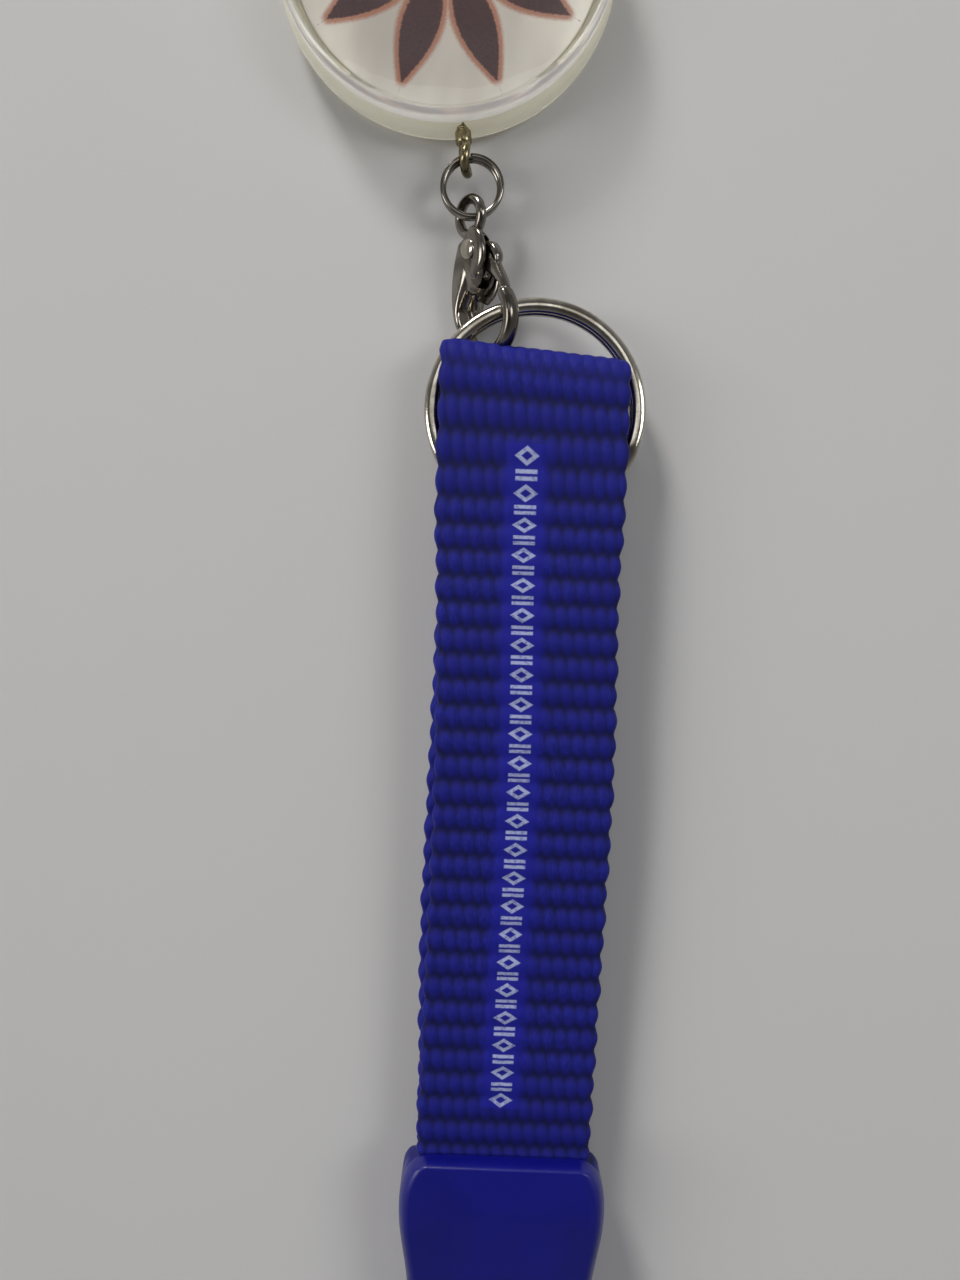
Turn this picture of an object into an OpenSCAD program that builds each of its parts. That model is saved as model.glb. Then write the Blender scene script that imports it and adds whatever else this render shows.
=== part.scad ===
// Lanyard badge holder, lying flat with its front face up. Millimetres.
// A 15 mm strap is folded over a split ring. A lobster clasp on the ring carries a round clear charm,
// and the strap's two ends are clamped in the socket of a side-release buckle, with its plug in place.
// Origin: on the socket's flat back face, halfway along it. +Y runs up the strap to the charm, +Z is the front.

/* [Strap] */
// Width of the webbing
strap_w = 15; // [14.6:0.1:15.2]
// Thickness of the webbing over its ribs
strap_t = 1.4; // [1.2:0.05:1.45]
// Top of the fold above the origin, along the strap
fold_y = 78; // [70:1:90]

/* [Strap ring] */
// Outer diameter of the split ring in the strap's fold
ring_od = 18.1; // [17.8:0.1:18.4]
// Radial width of the ring's wire
ring_wire = 1.2; // [1.0:0.05:1.3]
// Height of the ring's two stacked coils
ring_h = 1.8; // [1.6:0.05:1.9]

/* [Clasp] */
// Radius of the clasp's round opening, where it holds the ring
claw_r = 2.25; // [2.2:0.05:2.3]
// Thickness of the clasp's claw
claw_t = 1.4; // [1.2:0.1:1.4]
// Thickness of the clasp's head, over both cheeks
head_t = 2.2; // [2:0.1:2.3]
// Roll of the clasp about its length, as it leans on the ring
clasp_roll = 50; // [49:1:52]

/* [Charm ring] */
// Outer diameter of the small split ring between clasp and charm
link_od = 5.1; // [5.0:0.1:5.3]
// Wire width of the small split ring
link_wire = 0.5; // [0.45:0.05:0.6]
// Height of the small ring's two coils
link_h = 1.1; // [1.0:0.05:1.15]

/* [Charm] */
// Radius of the round charm
charm_r = 13.7; // [12:0.1:15]
// Height of the charm's clear base
base_h = 3.4; // [3.3:0.1:3.8]
// Height of the charm's clear domed front
dome_h = 2; // [1.6:0.1:2.4]

/* [Buckle] */
// Thickness of the buckle socket
socket_h = 6.4; // [6.2:0.1:6.8]
// Half the socket's length, from its mouth or its plug end to the origin
socket_half_l = 12; // [12:0.1:12.2]
// Wall above and below the webbing pocket
pocket_wall = 1.55; // [1.4:0.05:1.6]

/* [Hidden] */
$fn = 64;
eps = 0.02;
gap = 0.12;

// Strap: the two layers' mid heights at the fold and in the socket
mid_z = socket_h / 2;
fold_back_z = strap_t / 2;
fold_front_z = fold_back_z + 4.3;
mouth_back_z = mid_z - strap_t / 2 - eps;
mouth_front_z = mid_z + strap_t / 2 + eps;
turn_r = (fold_front_z - fold_back_z) / 2;
turn_z = (fold_front_z + fold_back_z) / 2;
turn_y = fold_y - turn_r - strap_t / 2;
strap_end_y = 2.6;
pocket_w = strap_w - 0.7;
post_x = 4;
post_y = 5.6;
post_r = 0.9;
tack_y = 9.2;
tack_r = 0.25;

// Ring: its centre lies just below the top of the fold
ring_mid_r = (ring_od - ring_wire) / 2;
ring_c = [0.25, fold_y - 3.6, turn_z];

// Clasp: its origin is the point where it holds the ring's wire
grip_x = -4;
clasp_lean = 9.5;
grip = [grip_x, ring_c[1] + sqrt(pow(ring_mid_r, 2) - pow(grip_x - ring_c[0], 2)), ring_c[2]];
claw_outer_r = claw_r + 1.05;
claw_shift = 0.2;
head_z = 0.1;
flank_z = 0.3;
flank_t = 1.8;
pivot = [0.1, 5.5];
pivot_r = 0.5;
slot_t = 1.0;
lever_t = 0.84;
link_z = 2.6;
eye_r = 1.36;
eye_wire_r = 0.42;
eye = [(link_z - ring_c[2]) / sin(clasp_roll), 8.35];

// Small ring: its lower wire runs through the middle of the clasp's eye
link_mid_r = (link_od - link_wire) / 2;
eye_out = eye[0] * cos(clasp_roll);
link_c = [
    grip[0] + eye_out * cos(clasp_lean) - eye[1] * sin(clasp_lean),
    grip[1] + eye_out * sin(clasp_lean) + eye[1] * cos(clasp_lean) + link_mid_r,
    link_z
];

// Charm: it hangs on the small ring by a screw eye set in the edge of its base
screw_angle = 14.6;
charm_lean = 7.2;
screw_c = link_c + link_mid_r * [-sin(screw_angle), cos(screw_angle), 0];
screw_eye_r = 1.13;
screw_wire_r = 0.36;
shank_r = 0.5;
shank_l = 5.3;
charm_d = charm_r + 2.15;
sheet_r = 12.2;
sheet_t = 0.25;

// Buckle: chamber for the plug in the lower half of the socket
chamber_half = 6.9;
chamber_top = -0.5;
chamber_z = 1.6;
window = [-9, -3.4];
arm_z = 1.75;
hinge_x = 4.9;
hinge_y = -13;
barrel_r = 0.8;
plug_top = -socket_half_l - 0.25;
plug_end = -25;
slot_w = strap_w + 0.6;
slot_y = [-22.4, -18.1];

// Smooth step from 0 to 1 as t goes from 0 to 1
function ease(t) = let(c = min(1, max(0, t))) c * c * (3 - 2 * c);

// Mid height of the front and the back layer along the strap
function front_z(y) = mouth_front_z + (fold_front_z - mouth_front_z) * ease((y - 13) / 42);
function back_z(y) = mouth_back_z + (fold_back_z - mouth_back_z) * ease((y - 13) / 26);

// One side of the folded webbing: up the front layer, round the fold and down the back layer
function strap_side(off) = concat(
    [for (y = [strap_end_y : 2.9 : turn_y]) [y, front_z(y) + off]],
    [for (a = [90 : -10 : -90]) [turn_y + (turn_r + off) * cos(a), turn_z + (turn_r + off) * sin(a)]],
    [for (y = [turn_y - 2 : -2.9 : strap_end_y]) [y, back_z(y) - off]],
    [[strap_end_y, back_z(strap_end_y) - off]]
);

// Half width of the socket's outline: shoulders by the mouth, a waist, and fuller sides at the plug
function socket_half(y) =
    y > 8 ? 8.65 - 1.15 * pow((y - 8) / (socket_half_l - 8), 2.5) :
    y > 0 ? 7.7 + 0.475 * (1 + cos(180 * (8 - y) / 8)) :
    7.7 + 0.2 * (1 - cos(180 * min(-y, 8) / 8));

// Half width of the plug's outline, from the socket down to the neck strap's bar
function plug_half(y) = 8.1 + 1.5 * ease((plug_top - 1 - y) / 5);

// Closed outline from a list of half widths, drawn in by an inset
function mirrored(side) = concat(side, [for (i = [len(side) - 1 : -1 : 0]) [-side[i][0], side[i][1]]]);
function socket_side(inset, mouth) = [
    for (i = [0 : 32])
        let(y = -socket_half_l + inset + i * (2 * socket_half_l - inset - mouth) / 32)
            [socket_half(y) - inset, y]
];
function plug_side(inset) = [
    for (i = [0 : 14])
        let(y = plug_end + inset + i * (plug_top - plug_end - 2 * inset) / 14)
            [plug_half(y) - inset - 1.6 * pow(max(0, 1 - (y - plug_end) / 2), 2), y]
];

// A block given by its lowest and highest corner
module block(low, high) {
    translate(low)
        cube(high - low);
}

// A plate with the socket's outline between two heights, drawn in all round and at the mouth
module socket_plate(z0, z1, inset, mouth) {
    translate([0, 0, z0])
        linear_extrude(z1 - z0)
            polygon(mirrored(socket_side(inset, mouth)));
}

// A plate with the plug's outline between two heights
module plug_plate(z0, z1, inset) {
    translate([0, 0, z0])
        linear_extrude(z1 - z0)
            polygon(mirrored(plug_side(inset)));
}

// Everything that the socket holds: webbing pocket, plug chamber and the two side windows
module socket_hollow() {
    block([-pocket_w / 2, 2, pocket_wall], [pocket_w / 2, socket_half_l + 1, socket_h - pocket_wall]);
    block([-chamber_half, -socket_half_l - 1, chamber_z], [chamber_half, chamber_top, socket_h - chamber_z]);
    block([-10, window[0], chamber_z], [10, window[1], socket_h - chamber_z]);
}

// The two posts that go through the webbing, or with a larger radius their bores
module posts(r, z0, z1) {
    for (side = [-1, 1])
        translate([side * post_x, post_y, z0])
            cylinder(r = r, h = z1 - z0);
}

// Legs of the bar tack's five stitches, through both layers
module tack_legs(r) {
    for (i = [-2 : 2], side = [-1, 1])
        translate([i * 2.4 + side * 0.7, tack_y, mid_z - strap_t - 0.1])
            cylinder(r = r, h = 2 * strap_t + 0.2, $fn = 20);
}

// Section of a split ring: two flat coils, one on the other, with bevelled corners and a groove between
module coil_section(width, height) {
    bevel = height * 0.12;
    top = height / 2;
    side = width / 2;
    right = [
        [side - bevel, -top], [side, bevel - top], [side, -bevel / 2], [side - bevel, 0],
        [side, bevel / 2], [side, top - bevel], [side - bevel, top]
    ];
    polygon(concat(right, [for (i = [len(right) - 1 : -1 : 0]) [-right[i][0], right[i][1]]]));
}

// A split ring lying flat: the wire's two ends show as a cut in the upper and in the lower coil
module split_ring(mid_r, width, height, cut, end_angle) {
    difference() {
        rotate_extrude($fn = 96)
            translate([mid_r, 0])
                coil_section(width, height);
        for (side = [0, 1])
            rotate([0, 0, end_angle + side * 24])
                mirror([0, 0, side])
                    translate([mid_r - width, -cut / 2, 0])
                        cube([2 * width, cut, height]);
    }
}

// Moves the clasp's own frame (across, along, through) to where it leans on the ring
module place_clasp() {
    translate(grip)
        rotate([0, 0, clasp_lean])
            rotate([0, -clasp_roll, 0])
                children();
}

// A flat piece of the clasp, centred on its mid plane
module clasp_plate(thick) {
    translate([0, 0, -thick / 2])
        linear_extrude(thick)
            children();
}

// Moves to the centre of the charm, along the line of its screw eye
module place_charm() {
    translate([screw_c[0] - charm_d * sin(charm_lean), screw_c[1] + charm_d * cos(charm_lean), 0])
        rotate([0, 0, charm_lean])
            children();
}

module strap_webbing() {
    color("#1c1f8a")
        difference() {
            rotate([90, 0, 90])
                translate([0, 0, -strap_w / 2])
                    linear_extrude(strap_w)
                        polygon(concat(
                            strap_side(strap_t / 2),
                            [for (i = [len(strap_side(0)) - 1 : -1 : 0]) strap_side(-strap_t / 2)[i]]
                        ));
            // narrower where the socket squeezes it
            for (side = [0, 1])
                mirror([side, 0, 0])
                    block([pocket_w / 2 - 0.1, 0, -1], [10, socket_half_l + 0.2, 9]);
            // edges pressed in where the ring's wire passes beside the fold
            translate(ring_c)
                rotate_extrude()
                    translate([ring_mid_r, 0])
                        square([ring_wire + 0.3, ring_h + 0.5], center = true);
            posts(post_r + 0.1, 0, socket_h);
            tack_legs(tack_r + 0.03);
        }
}

module bar_tack() {
    color("#15166e") {
        tack_legs(tack_r);
        for (i = [-2 : 2], side = [-1, 1])
            translate([i * 2.4 - 0.9, tack_y, mid_z + side * (strap_t + 0.03)])
                rotate([0, 90, 0])
                    cylinder(r = tack_r * 0.6, h = 1.8, $fn = 20);
    }
}

module socket_front_shell() {
    color("#14167a")
        difference() {
            union() {
                socket_plate(mid_z, socket_h - pocket_wall - 0.1, 0, 0.9);
                // the front face reaches further out over the mouth
                socket_plate(socket_h - pocket_wall - 0.1, socket_h - 0.9, 0, 0);
                socket_plate(socket_h - pocket_wall - 0.1, socket_h - 0.35, 0.35, 0);
                socket_plate(mid_z, socket_h, 0.9, 0.1);
            }
            socket_hollow();
            posts(post_r + 0.03, mid_z, socket_h - 0.8);
        }
}

module socket_back_shell() {
    color("#101264") {
        difference() {
            union() {
                socket_plate(0, mid_z, 0.9, 1.9);
                socket_plate(0.35, mid_z, 0.35, 1.9);
                socket_plate(0.9, mid_z, 0, 1.9);
            }
            socket_hollow();
        }
        posts(post_r, pocket_wall - 0.5, socket_h - pocket_wall + 0.6);
    }
}

module plug_body() {
    color("#14167a")
        difference() {
            union() {
                plug_plate(1.1, socket_h - 1.1, 0);
                plug_plate(0.5, socket_h - 0.5, 0.6);
                // centre guide, inside the chamber
                block([-1.4, plug_top - 1, 1.9], [1.4, chamber_top - 0.9, socket_h - 1.9]);
            }
            // slot for the neck strap
            block([-slot_w / 2, slot_y[0], -1], [slot_w / 2, slot_y[1], socket_h + 1]);
            // seats for the arms' roots
            for (side = [-1, 1]) {
                translate([side * hinge_x, hinge_y, arm_z - gap])
                    cylinder(r = barrel_r + 0.05, h = socket_h - 2 * arm_z + 2 * gap);
                translate([side * hinge_x, hinge_y, arm_z - gap])
                    block([-2, 0, 0], [1.5, 2, socket_h - 2 * arm_z + 2 * gap]);
            }
        }
}

// The right arm: root barrel, springy beam, thumb pad that fills the window, and rounded nose
module plug_arm() {
    translate([0, 0, arm_z])
        linear_extrude(socket_h - 2 * arm_z) {
            translate([hinge_x, hinge_y])
                circle(r = barrel_r);
            polygon([
                [4.3, hinge_y], [5.5, hinge_y], [5.6, -10.4], [5.9, -8.8], [7.6, -8.8],
                [8.1, -7.6], [8.3, -6.2], [8.1, -5.0], [7.3, -4.0], [6.2, -3.6], [5.2, -2.7],
                [4.5, -3.0], [4.2, -4.2], [4.3, -8.0]
            ]);
        }
}

module plug_right_arm() {
    color("#101264")
        plug_arm();
}

module plug_left_arm() {
    color("#101264")
        mirror([1, 0, 0])
            plug_arm();
}

module strap_ring() {
    color("#c9c6bd")
        translate(ring_c)
            split_ring(ring_mid_r, ring_wire, ring_h, 0.35, 318);
}

// Outline of the clasp's body: the head, and the flank that runs down into the claw
flank = [
    [-2.75, -0.3], [-2.1, -0.3], [-2.15, 0.1], [-2.15, 0.8], [-1.9, 1.5], [-1.35, 2.2],
    [-0.5, 2.75], [0.5, 3.2], [1.25, 3.7], [1.6, 4.4], [1.65, 5.3], [1.5, 6.1], [1.15, 6.9],
    [0.7, 7.35], [-0.6, 7.35], [-1.3, 6.5], [-1.8, 5.6], [-2.3, 4.5], [-2.65, 3.3],
    [-2.85, 2.0], [-2.88, 0.8]
];
cheek = [
    [-1.9, 2.0], [-1.1, 2.9], [0.2, 3.5], [0.95, 3.9], [1.3, 4.6], [1.35, 5.4], [1.15, 6.2],
    [0.75, 6.8], [0.4, 7.05], [-0.5, 7.05], [-1.15, 6.3], [-1.65, 5.4], [-2.1, 4.3], [-2.4, 3.1]
];

// Deeper part of the body round the upper end of the opening
palm = [
    [-2.15, 0.4], [-2.15, 0.8], [-1.9, 1.5], [-1.35, 2.2], [-0.5, 2.75], [0.5, 3.2], [1.25, 3.7],
    [1.2, 4.3], [0.2, 4.55], [-0.9, 4.5], [-1.7, 3.9], [-2.15, 2.8], [-2.35, 1.6], [-2.35, 0.5]
];
// The front cheek covers more of the lever
front_cheek = [
    [0.4, 3.6], [0.95, 3.75], [1.6, 4.4], [1.8, 5.3], [1.7, 6.1], [1.25, 6.85], [0.4, 7.1], [0.1, 5.5]
];

module clasp_body() {
    color("#6c6a68")
        place_clasp()
            difference() {
                union() {
                    // claw: from the flank under the ring and up to its tip
                    clasp_plate(claw_t)
                        difference() {
                            translate([claw_shift, 0])
                                circle(r = claw_outer_r);
                            translate([claw_shift, 0])
                                circle(r = claw_r);
                            polygon([[claw_shift, 0.02], [5, 2.77], [5, 5], [-5, 5], [-5, 0.02]]);
                        }
                    // deeper bottom of the claw, below the ring
                    translate([0, 0, -0.3])
                        clasp_plate(1.8)
                            difference() {
                                translate([claw_shift, 0])
                                    circle(r = claw_outer_r - 0.05);
                                translate([claw_shift, 0])
                                    circle(r = claw_r + 0.05);
                                polygon([[claw_shift, 0], [-4, -2.9], [-5, 5], [5, 5], [5, -5], [1.2, -5]]);
                            }
                    translate([0, 0, flank_z])
                        clasp_plate(flank_t)
                            polygon(flank);
                    translate([0, 0, head_z])
                        clasp_plate(head_t)
                            polygon(cheek);
                    translate([0, 0, -1.1])
                        clasp_plate(1.1)
                            polygon(palm);
                    translate([0, 0, 0.8])
                        clasp_plate(0.7)
                            polygon(front_cheek);
                    translate(concat(eye, 0))
                        rotate_extrude()
                            translate([eye_r, 0])
                                circle(r = eye_wire_r, $fn = 32);
                }
                // slot between the cheeks, where the lever swings
                clasp_plate(slot_t)
                    polygon([
                        [4, 2], [4, 6.1], [1, 6.35], [0.9, 6.7], [-0.75, 6.4], [-1.05, 5.2], [-1.05, 3.9], [-1.1, 2.6]
                    ]);
                translate([pivot[0], pivot[1], -3])
                    cylinder(r = pivot_r + 0.02, h = 6);
            }
}

module clasp_lever() {
    color("#5d5b59")
        place_clasp()
            difference() {
                union() {
                    clasp_plate(lever_t) {
                        // arm with its thumb tab
                        polygon([
                            [2.2, 1.32], [3.06, 1.83], [2.95, 2.6], [2.5, 3.65], [2.75, 4.05], [2.65, 4.7],
                            [2.05, 5.6], [1.5, 5.95], [0.4, 6.2], [-0.3, 4.9], [0.2, 4.2], [1.1, 3.3], [1.95, 2.3]
                        ]);
                        translate(pivot)
                            circle(r = 0.8);
                    }
                    clasp_plate(claw_t - 0.2)
                        polygon([[2.2, 1.32], [3.06, 1.83], [2.95, 2.6], [1.95, 2.3]]);
                }
                translate([pivot[0], pivot[1], -3])
                    cylinder(r = pivot_r + 0.05, h = 6);
            }
}

module clasp_rivet() {
    color("#8a8884")
        place_clasp()
            translate([pivot[0], pivot[1], head_z - head_t / 2 - 0.12]) {
                cylinder(r = pivot_r, h = head_t + 0.24);
                for (z = [0, head_t + 0.12])
                    translate([0, 0, z])
                        cylinder(r = 0.75, h = 0.12);
            }
}

module clasp_spring() {
    color("#9a988f")
        place_clasp()
            clasp_plate(0.7)
                polygon([
                    [0.75, 6.62], [-0.66, 6.36], [-0.97, 5.2], [-0.97, 4.0],
                    [-0.87, 4.0], [-0.87, 5.18], [-0.57, 6.28], [0.75, 6.52]
                ]);
}

module charm_ring() {
    color("#77736c")
        translate(link_c)
            split_ring(link_mid_r, link_wire, link_h, 0.25, 92);
}

module screw_eye() {
    color("#a08a4e")
        translate(screw_c)
            rotate([0, 0, charm_lean]) {
                rotate([0, 90, 0])
                    rotate_extrude()
                        translate([screw_eye_r, 0])
                            circle(r = screw_wire_r, $fn = 32);
                translate([0, screw_eye_r + 0.1, 0])
                    rotate([-90, 0, 0])
                        cylinder(r = shank_r, h = shank_l);
                // collar seated on the charm's edge
                translate([0, screw_eye_r - 0.05, 0])
                    rotate([-90, 0, 0])
                        cylinder(r = 0.66, h = 1.2);
            }
}

// Revolved profile of the charm's base: flat back, rounded rim
function base_profile() = concat(
    [[0, 0], [charm_r - 1.4, 0]],
    [for (a = [-70 : 20 : 90]) [charm_r - 1.4 + 1.4 * cos(a), base_h / 2 + (base_h / 2) * sin(a)]],
    [[0, base_h]]
);

// Revolved profile of the domed front: rounded shoulder, faint crown
function dome_profile() = concat(
    [[0, 0], [charm_r - 0.5, 0], [charm_r - 0.35, 0.3]],
    [for (a = [0 : 15 : 75]) [charm_r - 1.35 + cos(a), dome_h - 1.2 + sin(a)]],
    [for (i = [5 : -1 : 0]) [(charm_r - 1.5) * i / 5, dome_h - 0.2 * pow(i / 5, 2)]]
);

module charm_base() {
    color("#dfe3d2", 0.45)
        difference() {
            place_charm()
                difference() {
                    rotate_extrude($fn = 96)
                        polygon(base_profile());
                    translate([0, 0, base_h - sheet_t - 0.05])
                        cylinder(r = sheet_r + 0.1, h = 1, $fn = 96);
                }
            translate(screw_c)
                rotate([0, 0, charm_lean])
                    rotate([-90, 0, 0])
                        cylinder(r = shank_r + 0.02, h = shank_l + screw_eye_r + 0.2);
            // flat seat for the screw eye's collar
            translate(screw_c)
                rotate([0, 0, charm_lean])
                    rotate([-90, 0, 0])
                        cylinder(r = 0.72, h = screw_eye_r + 1.2);
        }
}

module charm_sheet() {
    color("#f2efe6")
        place_charm()
            translate([0, 0, base_h - sheet_t - 0.03])
                cylinder(r = sheet_r, h = sheet_t, $fn = 96);
}

module charm_dome() {
    color("#e9ecdf", 0.35)
        place_charm()
            translate([0, 0, base_h])
                rotate_extrude($fn = 96)
                    polygon(dome_profile());
}

strap_webbing();
bar_tack();
socket_front_shell();
socket_back_shell();
plug_body();
plug_left_arm();
plug_right_arm();
strap_ring();
clasp_body();
clasp_lever();
clasp_rivet();
clasp_spring();
charm_ring();
screw_eye();
charm_base();
charm_sheet();
charm_dome();
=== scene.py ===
import math

import bmesh
import bpy
import numpy as np
from mathutils import Matrix, Vector


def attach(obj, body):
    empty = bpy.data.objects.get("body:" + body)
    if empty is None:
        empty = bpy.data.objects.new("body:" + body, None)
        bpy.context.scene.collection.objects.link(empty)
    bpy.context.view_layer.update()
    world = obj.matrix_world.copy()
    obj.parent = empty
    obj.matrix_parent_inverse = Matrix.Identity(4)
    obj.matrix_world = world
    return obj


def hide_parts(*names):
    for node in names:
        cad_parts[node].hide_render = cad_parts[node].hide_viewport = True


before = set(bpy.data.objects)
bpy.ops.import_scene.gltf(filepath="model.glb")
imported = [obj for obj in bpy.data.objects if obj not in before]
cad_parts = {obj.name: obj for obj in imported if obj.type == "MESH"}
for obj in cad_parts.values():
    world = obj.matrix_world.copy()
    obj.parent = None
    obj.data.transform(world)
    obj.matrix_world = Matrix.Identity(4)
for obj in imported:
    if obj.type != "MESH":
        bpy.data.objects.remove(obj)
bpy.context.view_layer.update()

# The part in millimetres, as in the CAD. The origin is at the centre of the socket's back face,
# +Y runs up the strap and +Z out of the front.
MM = 0.001
MID_Z = 3.2
# webbing: thickness, half width, and the pitch of its ribs and yarns
STRAP_T, STRAP_HALF, RIB, YARN = 1.4, 7.45, 2.08, 1.08
# the mid line's turn round the split ring
TURN_R, TURN_Z, TURN_Y = 2.15, 2.85, 75.15
# printed row: its place across the strap, its two ends along it, and the length of one cell
PRINT_X, PRINT_FROM, PRINT_TO, CELL = -0.43, 13.66, 67.96, 2.4
RING_C, RING_R = (0.25, 74.4, 2.85), 8.45
# clasp: where it holds the ring and how it is turned, then its pivot and eye, across and along it
GRIP, LEAN, ROLL = (-4.0, 81.7034, 2.85), 9.5, 50.0
PIVOT, EYE, EYE_R = (0.1, 5.5), (-0.326, 8.35), 1.36
LINK_C, LINK_R = (-5.585, 92.2043, 2.6), 2.3
SCREW_C, CHARM_LEAN = (-6.1648, 94.43, 2.6), 7.2
CHARM_C, BASE_H, PETALS = (-8.1513, 110.155, 0.0), 3.4, 9


def ease(t):
    """0 to 1, level at both ends."""
    c = np.clip(t, 0, 1)
    return c * c * (3 - 2 * c)


def hill(y, low, top, high):
    """0 below low, 1 at top, 0 again above high."""
    return ease((y - low) / (top - low)) * ease((high - y) / (high - top))


# ---------------------------------------------------------------- meshes


def raw(verts, faces):
    """A temporary object in millimetres, with its faces turned outwards."""
    me = bpy.data.meshes.new("raw")
    me.from_pydata([tuple(v) for v in np.asarray(verts, float)], [], [tuple(f) for f in faces])
    bm = bmesh.new()
    bm.from_mesh(me)
    bmesh.ops.recalc_face_normals(bm, faces=bm.faces)
    bm.to_mesh(me)
    bm.free()
    ob = bpy.data.objects.new("raw", me)
    bpy.context.scene.collection.objects.link(ob)
    return ob


def loft(rings, caps=True, wrap=False):
    """Verts and quads through closed rings of points."""
    rings = np.asarray(rings, float)
    n, m = rings.shape[:2]
    faces = []
    for i in range(n if wrap else n - 1):
        a, b = i * m, (i + 1) % n * m
        faces += [(a + j, a + (j + 1) % m, b + (j + 1) % m, b + j) for j in range(m)]
    if caps and not wrap:
        faces += [tuple(range(m))[::-1], tuple(range((n - 1) * m, n * m))]
    return rings.reshape(-1, 3), faces


def revolve(profile, steps):
    """Turns (radius, z) points, the first and the last on the axis, about Z."""
    inner = profile[1:-1]
    a = np.linspace(0, 2 * math.pi, steps, endpoint=False)
    rings = [[(r * math.cos(t), r * math.sin(t), z) for t in a] for r, z in inner]
    verts, faces = loft(rings, caps=False)
    ends = [(0, 0, profile[0][1]), (0, 0, profile[-1][1])]
    verts = np.vstack([verts, ends])
    n, k = len(verts), (len(inner) - 1) * steps
    for j in range(steps):
        faces.append((n - 2, (j + 1) % steps, j))
        faces.append((n - 1, k + j, k + (j + 1) % steps))
    return verts, faces


def sweep(path, axis, halves, wrap=False, power=2.0, steps=20):
    """A closed section along a path.

    halves gives each point's half width, across the path, and half height, along axis.
    """
    path = np.asarray(path, float)
    axis = np.asarray(axis, float)
    if wrap:
        tangent = np.roll(path, -1, 0) - np.roll(path, 1, 0)
    else:
        tangent = np.gradient(path, axis=0)
    tangent /= np.linalg.norm(tangent, axis=1)[:, None]
    side = np.cross(tangent, axis)
    side /= np.linalg.norm(side, axis=1)[:, None]
    up = np.cross(side, tangent)
    t = np.linspace(0, 2 * math.pi, steps, endpoint=False)
    c = np.sign(np.cos(t)) * np.abs(np.cos(t)) ** (2 / power)
    s = np.sign(np.sin(t)) * np.abs(np.sin(t)) ** (2 / power)
    halves = np.broadcast_to(np.asarray(halves, float), (len(path), 2))
    rings = (
        path[:, None]
        + side[:, None] * (halves[:, :1] * c)[..., None]
        + up[:, None] * (halves[:, 1:] * s)[..., None]
    )
    if not wrap:
        # rounded ends
        first, last = [], []
        for k in (0.25, 0.6, 0.85):
            narrower = math.sin(math.acos(1 - k))
            for end, i, way in ((first, 0, -1), (last, -1, 1)):
                reach = way * min(halves[i]) * (1 - k)
                end.append(path[i] + tangent[i] * reach + (rings[i] - path[i]) * narrower)
        rings = np.concatenate([first, rings, last[::-1]])
    return loft(rings, wrap=wrap)


def box_mesh(low, high):
    """A box between two corners."""
    x, y, z = zip(low, high)
    verts = [(x[i], y[j], z[k]) for i in (0, 1) for j in (0, 1) for k in (0, 1)]
    faces = [(0, 1, 3, 2), (4, 6, 7, 5), (0, 4, 5, 1), (2, 3, 7, 6), (0, 2, 6, 4), (1, 5, 7, 3)]
    return verts, faces


def several(parts):
    """Several closed meshes as one."""
    verts, faces = [], []
    for v, f in parts:
        faces += [tuple(i + len(verts) for i in q) for q in f]
        verts += [tuple(p) for p in v]
    return verts, faces


def worked(ob, *modifiers):
    """ob with modifiers given as (type, settings) applied."""
    for kind, settings in modifiers:
        mod = ob.modifiers.new(kind, kind)
        for key, value in settings.items():
            setattr(mod, key, value)
    me = bpy.data.meshes.new_from_object(ob.evaluated_get(bpy.context.evaluated_depsgraph_get()))
    ob.modifiers.clear()
    ob.data = me
    return ob


def boolean(ob, other, how):
    """ob joined with other, or cut by it. other is (verts, faces)."""
    tool = raw(*other)
    bpy.context.view_layer.update()
    worked(ob, ("BOOLEAN", {"operation": how, "solver": "EXACT", "object": tool}))
    bpy.data.objects.remove(tool)
    return ob


def blended(parts, voxel, passes):
    """Closed meshes that run into each other, as one smooth casting."""
    ob = raw(*several(parts))
    return worked(
        ob,
        ("REMESH", {"mode": "VOXEL", "voxel_size": voxel, "adaptivity": 0.0}),
        ("SMOOTH", {"factor": 0.5, "iterations": passes}),
    )


def finished(ob, name, material, body, node, matrix=None, sharp=None):
    """Brings a temporary object into the frame, in metres, with its name, finish and body."""
    me = ob.data
    me.transform(Matrix.Scale(MM, 4) @ (matrix or Matrix.Identity(4)))
    me.shade_smooth()
    if sharp:
        me.set_sharp_from_angle(angle=math.radians(sharp))
    me.materials.clear()
    me.materials.append(material)
    ob.name = me.name = name
    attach(ob, body)
    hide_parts(node)
    return ob


# ---------------------------------------------------------------- materials


def srgb(r, g, b):
    def lin(c):
        c /= 255
        return c / 12.92 if c <= 0.04045 else ((c + 0.055) / 1.055) ** 2.4

    return (lin(r), lin(g), lin(b), 1.0)


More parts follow.
